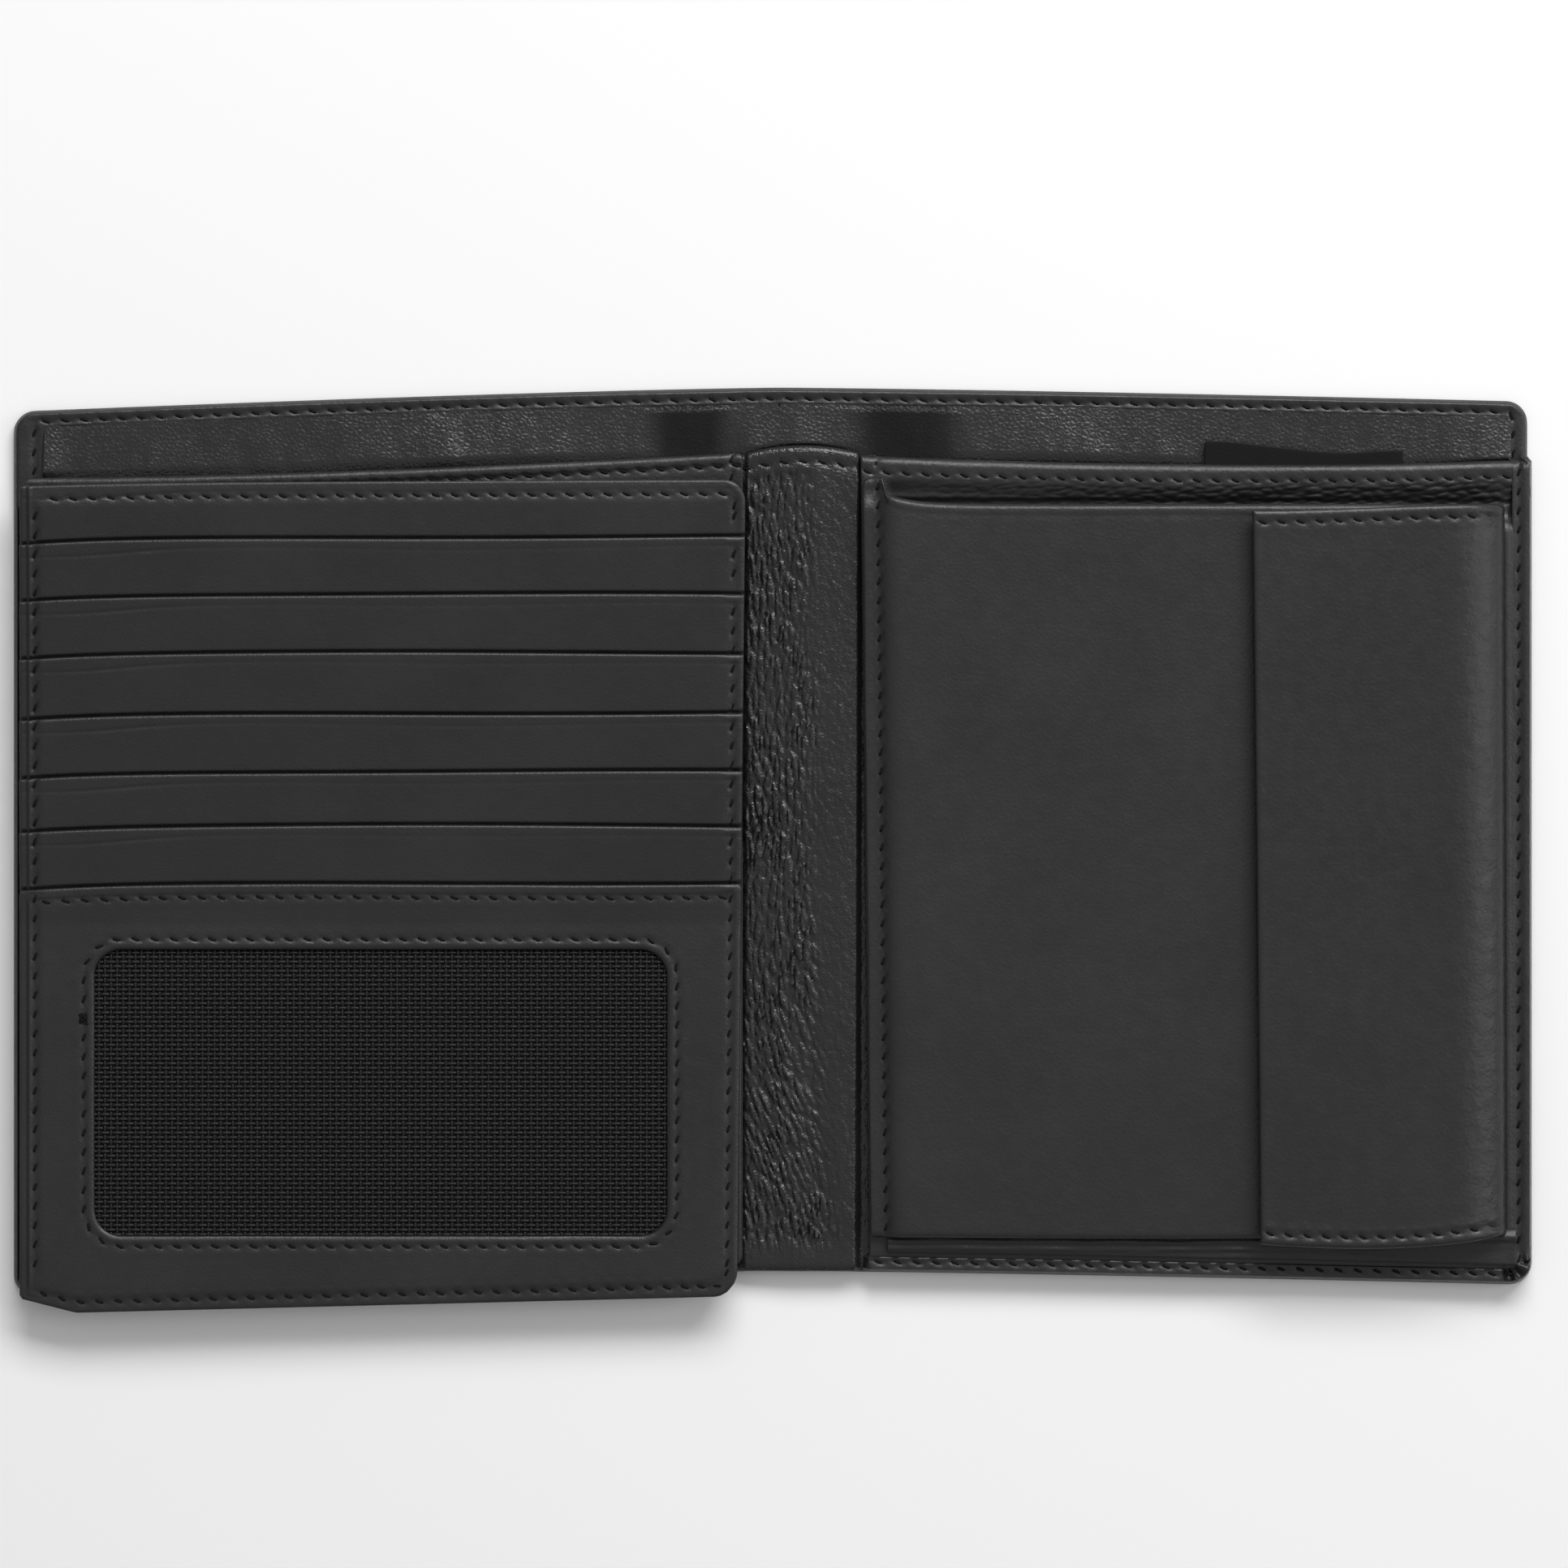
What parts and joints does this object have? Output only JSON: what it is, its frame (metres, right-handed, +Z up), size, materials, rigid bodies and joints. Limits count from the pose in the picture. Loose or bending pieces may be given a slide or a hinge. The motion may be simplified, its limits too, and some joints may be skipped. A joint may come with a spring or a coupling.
{
  "type": "folding wallet",
  "caption": "Black leather folding wallet lying open: a flip-out leaf of card pockets with a net window on the left, a flapped coin pocket on the right, and a full-width note compartment.",
  "frame": {"origin": "on the resting plane, in the middle of the spine between the two creases", "axes": "+X from the spine to the coin pocket, +Y to the open top edge of the note compartment, +Z up through the layers to the viewer"},
  "size_m": [0.203, 0.1232, 0.0076],
  "materials": {
    "cover_leather": "smooth semi-matt black",
    "lining_leather": "fine pebbled black with a soft sheen",
    "spine_leather": "soft creased black with bright wrinkles",
    "inner_leather": "smooth semi-matt black",
    "flap_leather": "smooth black, softly grained, with light wear",
    "pocket_leather": "smooth semi-matt black with burnished edges",
    "backing_cloth": "matt black cloth",
    "window_net": "woven black net",
    "snap_metal": "dark nickel-plated"
  },
  "bodies": {
    "right_half": {"cover_right": "cover_leather", "lining_right": "lining_leather", "spine_strip_right": "spine_leather", "inner_panel_right": "inner_leather", "note_tab": "inner_leather", "coin_pocket_back": "inner_leather", "coin_pocket_front": "inner_leather", "coin_gusset_top": "inner_leather", "coin_gusset_bottom": "inner_leather", "snap_stud": "snap_metal", "snap_rivet": "snap_metal", "flap_root": "flap_leather"},
    "spine": {"cover_spine": "cover_leather", "lining_spine": "lining_leather", "spine_strip": "spine_leather"},
    "left_half": {"cover_left": "cover_leather", "lining_left": "lining_leather", "inner_panel_left": "inner_leather", "slip_pocket_left": "inner_leather"},
    "card_leaf": {"leaf_back": "pocket_leather", "leaf_backing": "backing_cloth", "leaf_header": "pocket_leather", "card_pocket_1": "pocket_leather", "card_pocket_2": "pocket_leather", "card_pocket_3": "pocket_leather", "card_pocket_4": "pocket_leather", "card_pocket_5": "pocket_leather", "card_pocket_6": "pocket_leather", "id_frame": "pocket_leather", "id_window_net": "window_net"},
    "coin_flap": {"flap_outer": "flap_leather", "flap_lining": "flap_leather", "snap_socket": "snap_metal"}
  },
  "joints": [
    {"name": "fold_right_crease", "type": "hinge", "parent": "right_half", "child": "spine", "pos_m": [0.0043, 0, 0.00275], "axis": [0, 1, 0], "range_deg": [0, 90]},
    {"name": "fold_left_crease", "type": "hinge", "parent": "spine", "child": "left_half", "pos_m": [-0.0043, 0, 0.00275], "axis": [0, 1, 0], "range_deg": [0, 90]},
    {"name": "flip_card_leaf", "type": "hinge", "parent": "left_half", "child": "card_leaf", "pos_m": [-0.1014, 0, 0.0045], "axis": [0, -1, 0], "range_deg": [0, 180]},
    {"name": "open_coin_flap", "type": "hinge", "parent": "right_half", "child": "coin_flap", "pos_m": [0.097, 0, 0.0054], "axis": [0, 1, 0], "range_deg": [0, 180]}
  ],
  "couplings": [
    {"joint": "fold_left_crease", "follows": "fold_right_crease", "ratio": 1}
  ]
}
